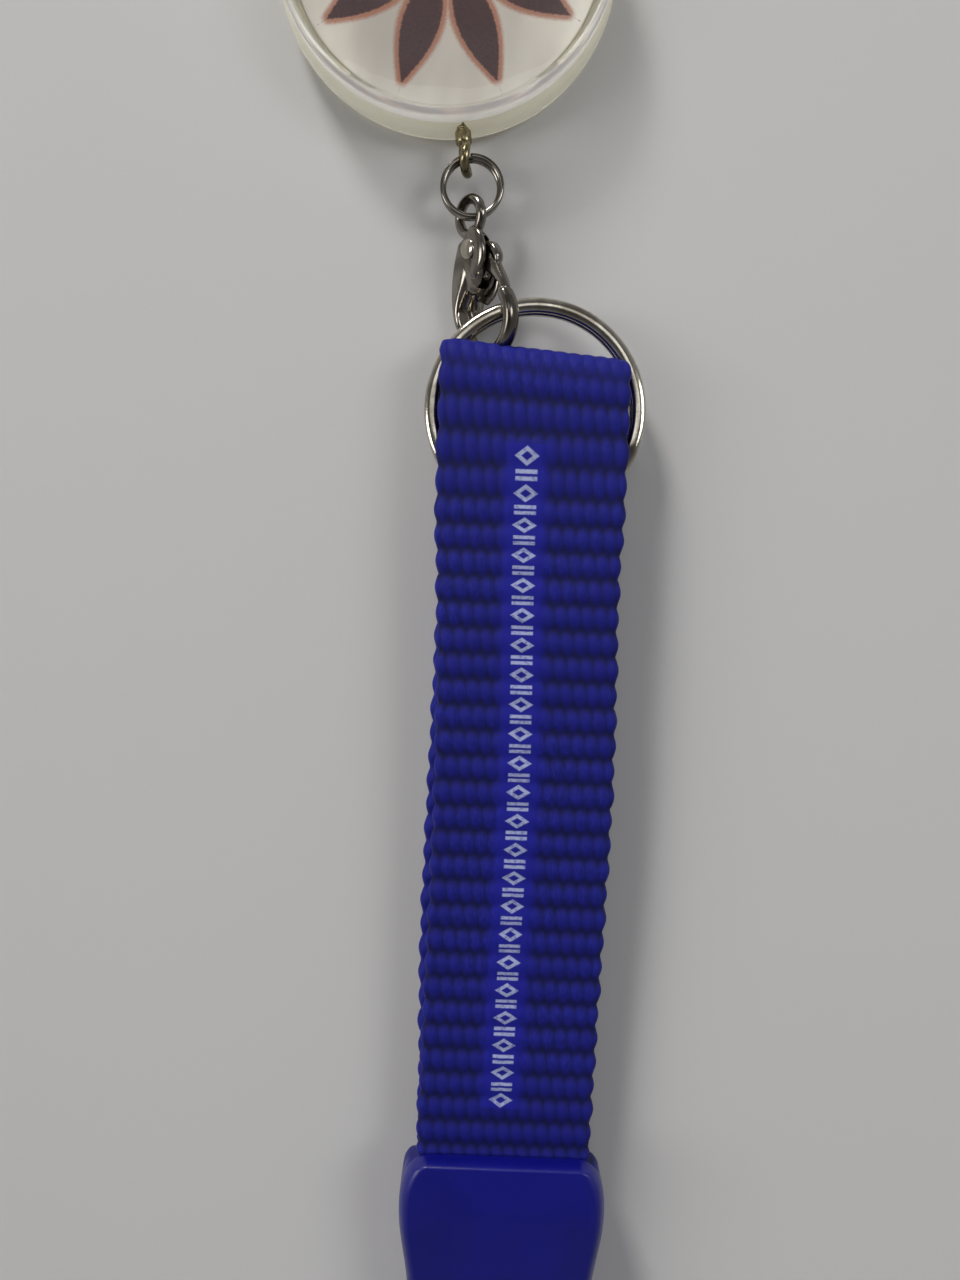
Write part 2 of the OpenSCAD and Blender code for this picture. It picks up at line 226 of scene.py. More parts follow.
class Finish:
    """A node material, built with short calls."""

    def __init__(self, name):
        self.mat = bpy.data.materials.new(name)
        self.mat.use_nodes = True
        self.tree = self.mat.node_tree
        self.tree.nodes.clear()
        self.out = self.node("ShaderNodeOutputMaterial")

    def node(self, kind, **settings):
        n = self.tree.nodes.new(kind)
        for key, value in settings.items():
            setattr(n, key, value)
        return n

    def put(self, socket, value):
        if isinstance(value, bpy.types.NodeSocket):
            self.tree.links.new(value, socket)
        else:
            socket.default_value = value

    def math(self, op, a, b=0.0, c=0.0, clamp=False):
        n = self.node("ShaderNodeMath", operation=op, use_clamp=clamp)
        for socket, value in zip(n.inputs, (a, b, c)):
            self.put(socket, value)
        return n.outputs[0]

    def step(self, value, low, high):
        """0 at low to 1 at high, smoothly."""
        n = self.node("ShaderNodeMapRange", interpolation_type="SMOOTHSTEP")
        for socket, v in zip(n.inputs, (value, low, high, 0.0, 1.0)):
            self.put(socket, v)
        return n.outputs[0]

    def between(self, value, low, high):
        n = self.node("ShaderNodeMapRange")
        for socket, v in zip(n.inputs, (value, 0.0, 1.0, low, high)):
            self.put(socket, v)
        return n.outputs[0]

    def mix(self, factor, a, b):
        n = self.node("ShaderNodeMix", data_type="RGBA")
        self.put(n.inputs[0], factor)
        self.put(n.inputs[6], a)
        self.put(n.inputs[7], b)
        return n.outputs[2]

    def place(self, centre=(0, 0, 0), turn=0.0, stretch=(1, 1, 1)):
        """Position in the part's frame, in millimetres from a centre."""
        where = self.node("ShaderNodeTexCoord").outputs["Object"]
        n = self.node("ShaderNodeVectorMath", operation="SUBTRACT")
        self.put(n.inputs[0], where)
        n.inputs[1].default_value = [c * MM for c in centre]
        m = self.node("ShaderNodeMapping")
        self.put(m.inputs[0], n.outputs[0])
        m.inputs["Rotation"].default_value = (0, 0, math.radians(turn))
        m.inputs["Scale"].default_value = [s / MM for s in stretch]
        return m.outputs[0]

    def around(self, centre):
        """x, y and the distance from an upright axis through centre, in millimetres."""
        split = self.node("ShaderNodeSeparateXYZ")
        self.put(split.inputs[0], self.place(centre))
        x, y = split.outputs[0], split.outputs[1]
        squares = self.math("ADD", self.math("MULTIPLY", x, x), self.math("MULTIPLY", y, y))
        return x, y, self.math("SQRT", squares)

    def noise(self, vector, scale, detail=3.0, roughness=0.5):
        n = self.node("ShaderNodeTexNoise")
        self.put(n.inputs["Vector"], vector)
        n.inputs["Scale"].default_value = scale
        n.inputs["Detail"].default_value = detail
        n.inputs["Roughness"].default_value = roughness
        return n.outputs[0]

    def bump(self, height, distance, strength=1.0, normal=None):
        n = self.node("ShaderNodeBump")
        n.inputs["Strength"].default_value = strength
        n.inputs["Distance"].default_value = distance * MM
        self.put(n.inputs["Height"], height)
        if normal is not None:
            self.put(n.inputs["Normal"], normal)
        return n.outputs[0]

    def surface(self, **values):
        n = self.node("ShaderNodeBsdfPrincipled")
        for key, value in values.items():
            self.put(n.inputs[key.replace("_", " ")], value)
        return n

    def done(self, shader):
        self.tree.links.new(shader, self.out.inputs["Surface"])
        return self.mat


def metal(name, tone, dull, low, high):
    """Plated metal, worn towards dull in patches, with a fine grain and a roughness from low to high."""
    f = Finish(name)
    where = f.place()
    patch = f.step(f.noise(where, 0.35, 4.0), 0.4, 0.68)
    fine = f.noise(where, 2.2, 5.0, 0.65)
    pits = f.noise(where, 5.0, 2.0)
    rough = f.math("ADD", f.between(fine, low, high), f.math("MULTIPLY", patch, 0.05))
    height = f.math("ADD", f.math("MULTIPLY", fine, 0.6), f.math("MULTIPLY", pits, 0.4))
    return f.done(
        f.surface(
            Base_Color=f.mix(patch, tone, dull),
            Metallic=1.0,
            Roughness=rough,
            Normal=f.bump(height, 0.012, 0.35),
        ).outputs[0]
    )


def plastic(name, tone, lit):
    """Moulded plastic: satin with faint orange peel, fine scuffs and a thin shine."""
    f = Finish(name)
    where = f.place()
    cloud = f.noise(where, 0.12, 3.0)
    peel = f.noise(where, 1.6, 3.0, 0.6)
    scuff = f.step(f.noise(f.place(turn=24, stretch=(1.0, 9.0, 1.0)), 0.8, 6.0, 0.7), 0.62, 0.74)
    speck = f.step(f.noise(where, 3.4, 2.0), 0.72, 0.78)
    worn = f.math("MAXIMUM", f.math("MULTIPLY", scuff, 0.35), f.math("MULTIPLY", speck, 0.5))
    colour = f.mix(f.step(cloud, 0.3, 0.7), tone, lit)
    return f.done(
        f.surface(
            Base_Color=f.mix(f.math("MULTIPLY", worn, 0.3), colour, srgb(90, 92, 170)),
            Roughness=f.between(peel, 0.3, 0.42),
            Specular_IOR_Level=0.5,
            Coat_Weight=0.25,
            Coat_Roughness=0.22,
            Normal=f.bump(f.math("ADD", peel, f.math("MULTIPLY", scuff, -0.3)), 0.02, 0.5),
        ).outputs[0]
    )


def webbing_finish():
    """Blue ribbed polyester with painted shade where the weave sinks, between the ribs and between the
    yarns, and a printed row of diamonds and bars.
    """
    f = Finish("strap_blue")
    weave = f.node("ShaderNodeAttribute", attribute_name="weave").outputs["Vector"]
    split = f.node("ShaderNodeSeparateXYZ")
    f.put(split.inputs[0], weave)
    across, along, depth = split.outputs
    aside = f.math("ABSOLUTE", f.math("ADD", across, -PRINT_X))
    started = f.step(along, PRINT_FROM, PRINT_FROM + 0.06)
    run = f.math("MULTIPLY", started, f.step(along, PRINT_TO, PRINT_TO - 0.06))
    # depth is -1 on the side that faces the other layer
    run = f.math("MULTIPLY", run, f.math("GREATER_THAN", depth, -0.5))
    cell = f.math("PINGPONG", along, CELL / 2)
    # an outlined diamond at one end of each half cell, a bar near the other
    reach = f.math("ADD", f.math("MULTIPLY", aside, 0.62), cell)
    diamond = f.math("MULTIPLY", f.step(reach, 0.66, 0.56), f.step(reach, 0.24, 0.34))
    off_bar = f.math("ABSOLUTE", f.math("SUBTRACT", cell, 0.97))
    bar = f.math("MULTIPLY", f.step(aside, 0.92, 0.82), f.step(off_bar, 0.17, 0.1))
    ink = f.math("MULTIPLY", f.math("MAXIMUM", diamond, bar), run)
    where = f.place()
    fibre = f.noise(f.place(stretch=(5.0, 1.0, 1.0)), 1.5, 4.0, 0.65)
    worn = f.step(f.noise(where, 3.2, 3.0), 0.3, 0.55)
    ink = f.math("MULTIPLY", ink, f.between(worn, 0.45, 0.92))
    film = f.math("MULTIPLY", f.step(aside, 2.3, 1.1), run)
    yarn = f.mix(f.step(fibre, 0.3, 0.72), srgb(10, 14, 100), srgb(26, 32, 144))
    yarn = f.mix(f.step(f.noise(where, 0.09, 2.0), 0.35, 0.65), yarn, srgb(16, 20, 118))
    # painted shade: the yarn colour darkens towards srgb(6, 8, 56) where the weave sinks, standing in for
    # the shade in the grooves
    body = f.mix(f.step(depth, 0.74, 0.16), srgb(6, 8, 56), yarn)
    body = f.mix(f.math("MULTIPLY", film, 0.55), body, srgb(20, 22, 150))
    return f.done(
        f.surface(
            Base_Color=f.mix(ink, body, srgb(168, 176, 208)),
            Roughness=f.between(fibre, 0.62, 0.8),
            Specular_IOR_Level=0.25,
            Sheen_Weight=0.06,
            Sheen_Roughness=0.45,
            Sheen_Tint=srgb(120, 130, 230),
            Normal=f.bump(fibre, 0.05, 0.6),
        ).outputs[0]
    )


def thread_finish():
    """Twisted sewing thread."""
    f = Finish("thread_blue")
    twist = f.node("ShaderNodeTexWave", wave_type="BANDS", bands_direction="DIAGONAL")
    f.put(twist.inputs["Vector"], f.place())
    twist.inputs["Scale"].default_value = 3.0
    fibre = f.noise(f.place(), 4.0, 3.0)
    return f.done(
        f.surface(
            Base_Color=f.mix(twist.outputs[1], srgb(14, 15, 84), srgb(40, 42, 150)),
            Roughness=f.between(fibre, 0.5, 0.7),
            Sheen_Weight=0.3,
            Sheen_Roughness=0.4,
            Normal=f.bump(twist.outputs[1], 0.03, 0.5),
        ).outputs[0]
    )


def clear_finish(name, tone, body, through, edge, painted_glow, shade):
    """Clear cast plastic with minute ripples and a few surface marks.

    Beyond the sheet's edge it is milkier, with a painted glow that stands in for the light let through
    the rim. shade is what it lets on into its shadow.
    """
    f = Finish(name)
    where = f.place(CHARM_C)
    out = f.step(f.around(CHARM_C)[2], 12.7, 13.15)
    ripple = f.noise(where, 0.22, 2.0)
    mark = f.step(f.noise(f.place(CHARM_C, 35, (1, 12, 1)), 0.5, 4.0, 0.7), 0.66, 0.78)
    glass = f.surface(
        Base_Color=f.mix(f.step(ripple, 0.3, 0.7), tone, body),
        Roughness=f.between(mark, 0.01, 0.1),
        IOR=1.49,
        Transmission_Weight=f.between(out, through, edge),
        # painted glow: emission in the body colour beyond the sheet's edge, standing in for light let
        # through the rim
        Emission_Color=body,
        Emission_Strength=f.math("MULTIPLY", out, painted_glow),
        Normal=f.bump(ripple, 0.12, 0.5),
    )
    lets = f.node("ShaderNodeBsdfTransparent")
    lets.inputs[0].default_value = shade
    both = f.node("ShaderNodeMixShader")
    f.put(both.inputs[0], f.node("ShaderNodeLightPath").outputs["Is Shadow Ray"])
    f.put(both.inputs[1], glass.outputs[0])
    f.put(both.inputs[2], lets.outputs[0])
    return f.done(both.outputs[0])


def print_finish():
    """Card with painted pearly sheen in broad lighter and darker patches, and a plain rosette of nine
    pointed petals, maroon with a soft orange edge.
    """
    f = Finish("print_sheet")
    x, y, r = f.around(CHARM_C)
    # two whole turns keep the angle above 0, where the remainder is even from petal to petal
    turn = f.math("ADD", f.math("ARCTAN2", y, x), math.radians(107 + 720))
    pitch = 2 * math.pi / PETALS
    off = f.math("SUBTRACT", f.math("MODULO", f.math("ADD", turn, pitch / 2), pitch), pitch / 2)
    aside = f.math("MULTIPLY", r, f.math("SINE", f.math("ABSOLUTE", off)))
    t = f.math("DIVIDE", f.math("SUBTRACT", r, 1.6), 9.6, clamp=True)
    half = f.math("MULTIPLY", f.math("SINE", f.math("MULTIPLY", t, math.pi)), 1.5)
    grain = f.noise(f.place(), 6.0, 2.0)
    edge = f.math("ADD", f.math("SUBTRACT", half, aside), f.between(grain, -0.14, 0.14))
    core = f.step(edge, -0.05, 0.12)
    rim = f.math("MULTIPLY", f.step(edge, -0.62, -0.16), f.step(r, 11.6, 11.0))
    # painted sheen: broad lighter and darker patches in the card's white stand in for its pearly sheen
    painted_sheen = f.noise(f.place(turn=20, stretch=(1, 0.4, 1)), 0.11, 3.0)
    satin = f.noise(f.place(turn=30, stretch=(1, 6, 1)), 0.7, 4.0, 0.6)
    white = f.mix(f.step(painted_sheen, 0.34, 0.66), srgb(226, 222, 215), srgb(184, 180, 174))
    petal = f.mix(f.step(grain, 0.3, 0.7), srgb(50, 24, 32), srgb(68, 36, 40))
    colour = f.mix(f.math("MULTIPLY", rim, 0.85), white, srgb(158, 92, 60))
    return f.done(
        f.surface(
            Base_Color=f.mix(core, colour, petal),
            Roughness=f.between(satin, 0.28, 0.5),
            Coat_Weight=0.4,
            Coat_Roughness=0.2,
            Sheen_Weight=0.15,
            Normal=f.bump(satin, 0.01, 0.4),
        ).outputs[0]
    )


STRAP_BLUE = webbing_finish()
THREAD_BLUE = thread_finish()
BUCKLE_BLUE = plastic("buckle_blue", srgb(2, 5, 104), srgb(5, 8, 118))
ARM_BLUE = plastic("buckle_blue_arms", srgb(2, 4, 92), srgb(4, 7, 104))
NICKEL = metal("nickel", srgb(214, 208, 194), srgb(166, 158, 144), 0.06, 0.18)
DARK_NICKEL = metal("dark_nickel", srgb(146, 140, 131), srgb(106, 100, 92), 0.07, 0.2)
STEEL = metal("spring_steel", srgb(170, 166, 156), srgb(120, 116, 108), 0.2, 0.35)
BRASS = metal("brass", srgb(140, 130, 100), srgb(104, 96, 74), 0.14, 0.32)
CLEAR_BASE = clear_finish(
    "clear_base", srgb(246, 244, 228), srgb(247, 242, 222),
    through=0.7, edge=0.6, painted_glow=0.17, shade=srgb(120, 118, 115),
)  # fmt: skip
CLEAR_DOME = clear_finish(
    "clear_dome", srgb(252, 252, 248), srgb(248, 246, 240),
    through=0.985, edge=0.6, painted_glow=0.1, shade=srgb(190, 188, 184),
)  # fmt: skip
PRINT = print_finish()


# ---------------------------------------------------------------- strap


def front_z(y):
    """Height of the front layer's mid line, which rises from the socket to the turn."""
    return MID_Z + 0.72 + (5.0 - MID_Z - 0.72) * ease((y - 13) / 42)


def back_z(y):
    """Height of the back layer's mid line, which drops from the socket to the table."""
    return MID_Z - 0.72 + (0.7 - MID_Z + 0.72) * ease((y - 13) / 26)


def strap_path(step):
    """Stations on the mid line: y, z, the normal's y and z, the distance along, and the layer.

    The layer goes from 0 on the front one, through the turn, to 1 on the back one.
    """
    up = np.linspace(2.6, TURN_Y, 900)
    a = np.radians(np.linspace(90, -90, 160))[1:-1]
    down = up[::-1]
    y = np.concatenate([up, TURN_Y + TURN_R * np.cos(a), down])
    z = np.concatenate([front_z(up), TURN_Z + TURN_R * np.sin(a), back_z(down)])
    layer = np.concatenate([np.zeros(len(up)), 0.5 - a / math.pi, np.ones(len(up))])
    s = np.concatenate([[0], np.cumsum(np.hypot(np.diff(y), np.diff(z)))])
    at = np.linspace(0, s[-1], int(s[-1] / step) + 1)
    y, z, layer = (np.interp(at, s, v) for v in (y, z, layer))
    ty, tz = np.gradient(y, at), np.gradient(z, at)
    n = np.hypot(ty, tz)
    return y, z, -tz / n, ty / n, at, layer


def webbing():
    """The folded strap, and its length along the mid line."""
    y, z, ny, nz, s, layer = strap_path(0.232)
    # the pull that the weave puts on the edges, and where the two layers lie side to side
    rib = (0.5 - 0.5 * np.cos(2 * math.pi * s / RIB)) ** 0.7
    row = np.floor(s / RIB)
    wider = 0.3 * ease((y - 58) / 10) * (1 - layer)
    half = STRAP_HALF + wider - 0.24 * (1 - rib) + 0.05 * np.sin(row * 2.4 + layer)
    # narrower inside the socket
    half = half - (half - 7.0) * ease((12.4 - y) / 0.9)
    front = 0.08 + 0.37 * hill(y, 66, 44, 18) - 0.12 * ease((20 - y) / 6)
    back = -0.42 * hill(y, 60, 30, 12)
    middle = (front + (back - front) * ease(layer)) * ease((y - 11) / 4)
    # across: close at the edges, so that they round off
    n_out, n_in = 104, 26
    u_out = np.linspace(-1, 1, n_out)
    u_out = u_out + 0.012 * np.sin(math.pi * u_out)
    u_in = np.sin(np.linspace(math.pi / 2, -math.pi / 2, n_in + 2))[1:-1] * 0.995
    u = np.concatenate([u_out, u_in])
    outer = np.concatenate([np.ones(n_out, bool), np.zeros(n_in, bool)])
    x = half[:, None] * u[None]
    edge = np.clip((np.abs(x) - (half[:, None] - 0.55)) / 0.55, 0, 1)
    roll = np.sqrt(np.clip(1 - edge**2, 0, 1))
    # each rib's yarns slant a little, and every other rib is half a yarn to one side
    phase = s[:, None] / RIB - row[:, None] - 0.5
    lean = x + 0.26 * phase + 0.5 * YARN * (row[:, None] % 2)
    yarn = np.abs(np.sin(math.pi * lean / YARN)) ** 0.7
    soft = np.sin(s[:, None] * 0.83 + x * 0.31) * np.sin(x * 0.9 - s[:, None] * 0.21)
    # the print fills the weave that it lies on
    printed = (layer < 0.01) & (y > 16.2) & (y < 70.7)
    film = printed[:, None] * ease((1.9 - np.abs(x - PRINT_X)) / 0.7)
    ridge = rib[:, None]
    calm = 1 - 0.3 * ease((y - 73) / 4)[:, None]
    # how far the surface sinks between the ribs, and between a rib's yarns
    bite = 0.24 * (1 - ridge) * (1 - 0.4 * film) * calm
    dip = 0.21 * (1 - yarn) * (0.4 + 0.6 * ridge) * (1 - 0.7 * film) * calm
    sunk = np.where(outer[None], bite + dip, 0.3 * (1 - ridge))
    height = (STRAP_T / 2 - sunk + 0.02 * soft) * roll
    height = np.where(outer[None], height, -height)
    # a slanted fold
    slant = (0.085 * ease((y - 69) / 8))[:, None]
    py = y[:, None] + ny[:, None] * height - slant * x
    pz = z[:, None] + nz[:, None] * height
    # the front layer leans over the turn
    py = py + 1.8 * ease((pz - 2.3) / 2.2) * ease((py - 66) / 9)
    px = x + middle[:, None]
    # room for the ring's wire beside the fold
    inside = 7.62
    near = ease((1.75 - np.abs(pz - RING_C[2])) / 0.5) * (py > 70)
    room = np.sqrt(np.clip(inside**2 - (py - RING_C[1]) ** 2, 1, None))
    px = np.where(near > 0, px + (np.clip(px, -room, room) - px) * near, px)
    points = np.stack([px, py, pz], -1)
    verts, faces = loft(points)
    ob = raw(verts, faces)
    # depth: how far the weave sinks, 0 to 1, which the finish paints as shade in the grooves; -1 on the
    # inner side
    depth = np.where(outer[None], (bite + dip) / 0.44, -1.0)
    info = np.stack([x, np.broadcast_to(s[:, None], x.shape), depth], -1)
    me = ob.data
    at = me.attributes.new("weave", "FLOAT_VECTOR", "POINT")
    at.data.foreach_set("vector", info.reshape(-1).astype(np.float32))
    done = finished(ob, "strap_webbing_skin", STRAP_BLUE, "strap", "strap_webbing")
    return done, float(s[-1])


strap, strap_length = webbing()


def bar_tack():
    """Five stitches through both layers, each a closed loop of thread."""
    t = np.radians(np.linspace(0, 360, 48, endpoint=False))
    x = np.sign(np.cos(t)) * np.abs(np.cos(t)) ** 0.35 * 0.72
    z = np.sign(np.sin(t)) * np.abs(np.sin(t)) ** 0.35 * 1.46 + MID_Z
    parts = []
    for i in range(-2, 3):
        path = np.stack([x + i * 2.4, np.full(48, 9.2), z], -1)
        parts.append(sweep(path, (0, 1, 0), (0.15, 0.2), wrap=True, steps=12))
    return raw(*several(parts))


finished(bar_tack(), "bar_tack_skin", THREAD_BLUE, "strap", "bar_tack")


# ---------------------------------------------------------------- buckle


def socket_half(y):
    """The socket's half width: shoulders near the mouth, a waist, and a slight flare at the other end."""
    if y > 8:
        return 8.65 - 1.15 * ((y - 8) / 4) ** 2.5
    if y > 0:
        return 7.7 + 0.475 * (1 + math.cos(math.pi * (8 - y) / 8))
    return 7.7 + 0.2 * (1 - math.cos(math.pi * min(-y, 8) / 8))


def plug_half(y):
    """The plug's half width, which widens towards its slot."""
    return 8.1 + 1.5 * float(ease((-13.25 - y) / 5))


def outline(half, z, inset, y0, y1, c0, c1, share=1.0, steps=36):
    """A closed ring with rounded corners, where half gives the half width along the part.

    It is drawn in by inset, but at its far end only by a share of it.
    """
    y0, y1 = y0 + inset, y1 - inset * share
    c0, c1 = max(c0 - inset, 0.06), max(c1 - inset, 0.06)
    side = []
    for a in np.radians(np.linspace(0, 90, 9)):
        y = y0 + c0 - c0 * math.cos(a)
        side.append((half(y) - inset - c0 * (1 - math.sin(a)), y))
    for y in np.linspace(y0 + c0, y1 - c1, steps)[1:-1]:
        side.append((half(y) - inset, y))
    for a in np.radians(np.linspace(90, 0, 9)):
        y = y1 - c1 + c1 * math.cos(a)
        side.append((half(y) - inset - c1 * (1 - math.sin(a)), y))
    return [(x, y, z) for x, y in side] + [(-x, y, z) for x, y in side[::-1]]


def rounded(half, y0, y1, c0, c1, profile, share=1.0):
    """Outlines stacked through a profile of (z, inset)."""
    return loft([outline(half, z, inset, y0, y1, c0, c1, share) for z, inset in profile])


def quarter(z, inset, height, width, steps=7):
    """Profile of a rounded edge from a wall at (z, inset), height up or down and width inwards."""
    a = np.radians(np.linspace(0, 90, steps))
    return [(z + height * math.sin(t), inset + width * (1 - math.cos(t))) for t in a]


def hollow(ob):
    """Cuts the strap's pocket, the plug's pocket and the side windows out of a shell."""
    cuts = [
        ((-7.15, 2, 1.55), (7.15, 13, 4.85)),
        ((-6.9, -13, 1.6), (6.9, -0.5, 4.8)),
        ((-10, -9, 1.6), (10, -3.4, 4.8)),
    ]
    for low, high in cuts:
        boolean(ob, box_mesh(low, high), "DIFFERENCE")
    return ob


def front_shell():
    """The socket's front half, whose face reaches out over the mouth as a lip."""
    wall = [(3.215, 0.07), (3.28, 0.0), (4.2, 0.0), (5.0, 0.1), (5.3, 0.4)]
    ob = raw(*rounded(socket_half, -12, 11.1, 0.5, 0.3, wall))
    plate = [(4.72, 0.12), (4.8, 0.0)] + quarter(4.9, 0.0, 1.5, 0.98, 10)
    boolean(ob, rounded(socket_half, -12, 12.3, 0.5, 1.1, plate, 0.35), "UNION")
    return hollow(ob)


def back_shell():
    """The socket's back half, with the two posts that join it to the front."""
    wall = quarter(1.2, 0.0, -1.2, 0.95)[::-1] + [(2.2, 0.0), (3.12, 0.0), (3.185, 0.07)]
    ob = hollow(raw(*rounded(socket_half, -12, 10.15, 0.5, 0.45, wall, 0.1)))
    for side in (-1, 1):
        post = revolve([(0, 1.2), (0.9, 1.2), (0.9, 5.2), (0.8, 5.35), (0, 5.35)], 32)
        boolean(ob, (post[0] + (side * 4.0, 5.6, 0), post[1]), "UNION")
    return ob


def plug():
    """The plug with its strap slot, its centre guide and the seats of its two arms."""
    wall = quarter(1.45, 0.0, -0.95, 0.8)[::-1] + [(3.2, 0.0)] + quarter(4.95, 0.0, 0.95, 0.8)
    ob = raw(*rounded(plug_half, -25, -12.25, 2.0, 0.4, wall))
    slot = rounded(lambda y: 7.8, -22.4, -18.1, 1.2, 1.2, [(-1, 0), (8, 0)])
    boolean(ob, slot, "DIFFERENCE")
    bevel = [(1.9, 0.25), (2.15, 0), (4.25, 0), (4.5, 0.25)]
    guide = rounded(lambda y: 1.4, -13.5, -1.4, 0.3, 0.8, bevel)
    boolean(ob, guide, "UNION")
    for side in (-1, 1):
        low, high = sorted((side * 2.9, side * 6.4))
        boolean(ob, box_mesh((low, -13, 1.63), (high, -11, 4.77)), "DIFFERENCE")
        seat = revolve([(0, 1.63), (0.85, 1.63), (0.85, 4.77), (0, 4.77)], 32)
        boolean(ob, (seat[0] + (side * 4.9, -13, 0), seat[1]), "DIFFERENCE")
    return ob


def drawn_in(poly, inset):
    """A counter-clockwise outline moved inwards by inset."""
    normals = []
    for d in (poly - np.roll(poly, 1, 0), np.roll(poly, -1, 0) - poly):
        normals.append(np.stack([-d[:, 1], d[:, 0]], 1) / np.linalg.norm(d, axis=1)[:, None])
    before, after = normals
    mid = before + after
    return poly + mid / np.maximum((mid * after).sum(1), 0.35)[:, None] * inset


def arm(side):
    """One side arm: a bar with a hooked head that fills the window, on a round root."""
    poly = np.array(
        [
            (4.3, -13), (5.5, -13), (5.6, -10.4), (5.9, -8.8), (7.6, -8.8), (8.1, -7.6), (8.3, -6.2),
            (8.1, -5.0), (7.3, -4.0), (6.2, -3.6), (5.2, -2.7), (4.5, -3.0), (4.2, -4.2), (4.3, -8.0),
        ]
    )  # fmt: skip
    for _ in range(2):
        ahead = np.roll(poly, -1, 0)
        poly = np.stack([poly * 0.8 + ahead * 0.2, poly * 0.2 + ahead * 0.8], 1).reshape(-1, 2)
    rings = []
    for z, inset in ((1.75, 0.16), (1.8, 0.05), (1.92, 0.0), (4.48, 0.0), (4.6, 0.05), (4.65, 0.16)):
        flat = drawn_in(poly, inset)
        rings.append([(side * px, py, z) for px, py in flat])
    barrel = revolve([(0, 1.75), (0.7, 1.75), (0.8, 1.88), (0.8, 4.52), (0.7, 4.65), (0, 4.65)], 32)
    return raw(*several([loft(rings), (barrel[0] + (side * 4.9, -13, 0), barrel[1])]))


for shape, name, node in (
    (front_shell, "socket_front_skin", "socket_front_shell"),
    (back_shell, "socket_back_skin", "socket_back_shell"),
    (plug, "plug_skin", "plug_body"),
):
    finished(shape(), name, BUCKLE_BLUE, "strap", node, sharp=32)
for side, word in ((-1, "left"), (1, "right")):
    body = word + "_arm"
    finished(arm(side), body + "_skin", ARM_BLUE, body, "plug_" + body, sharp=40)


# ---------------------------------------------------------------- rings


def split_ring(centre, mid_r, width, height, start, spread=0.0, steps=150):
    """A wire wound nearly twice round, which climbs to the upper coil beside its own start.

    start is the angle where it begins, and steps the number of stations in each turn.
    """
    wound = 692
    a = np.linspace(0, wound, int(steps * wound / 360))
    climb = ease((a - 338) / 20)
    r = mid_r + spread * climb * (0.5 + 0.5 * np.cos(np.radians(a + start)))
    t = np.radians(a + start + 2)
    level = (climb - 0.5) * height
    path = np.stack([centre[0] + r * np.cos(t), centre[1] + r * np.sin(t), centre[2] + level], -1)
    return raw(*sweep(path, (0, 0, 1), (width / 2, height / 2), power=2.6, steps=20))


big = split_ring(RING_C, RING_R, 1.2, 0.9, 342)
small = split_ring(LINK_C, LINK_R, 0.49, 0.51, 116, spread=0.12, steps=90)
finished(big, "strap_ring_skin", NICKEL, "ring", "strap_ring")
finished(small, "charm_ring_skin", DARK_NICKEL, "link", "charm_ring")


# ---------------------------------------------------------------- clasp

PLACE_CLASP = (
    Matrix.Translation(GRIP)
    @ Matrix.Rotation(math.radians(LEAN), 4, "Z")
    @ Matrix.Rotation(math.radians(-ROLL), 4, "Y")
)


def spline(points, steps):
    """A smooth path through points, each with any further values along it."""
    p = np.asarray(points, float)
    p = np.vstack([2 * p[0] - p[1], p, 2 * p[-1] - p[-2]])
    out = []
    for i in range(1, len(p) - 2):
        for t in np.linspace(0, 1, steps, endpoint=i == len(p) - 3):
            a, b, c, d = p[i - 1 : i + 3]
            bend, twist = 2 * a - 5 * b + 4 * c - d, 3 * b - a - 3 * c + d
            out.append(0.5 * (2 * b + (c - a) * t + bend * t**2 + twist * t**3))
    return np.array(out)


def strand(points, steps=10, power=2.3):
    """A cast arm of the clasp through (across, along, half width, half thickness, height)."""
    p = spline(points, steps)
    return sweep(p[:, [0, 1, 4]], (0, 0, 1), p[:, 2:4], power=power, steps=24)


def bulge(sections, steps=8, power=2.4):
    """A rounded body along the clasp through (along, centre across, half width, half thickness)."""
    p = spline(sections, steps)
    path = np.stack([p[:, 1], p[:, 0], np.zeros(len(p))], -1)
    return sweep(path, (0, 0, 1), p[:, 2:], power=power, steps=32)


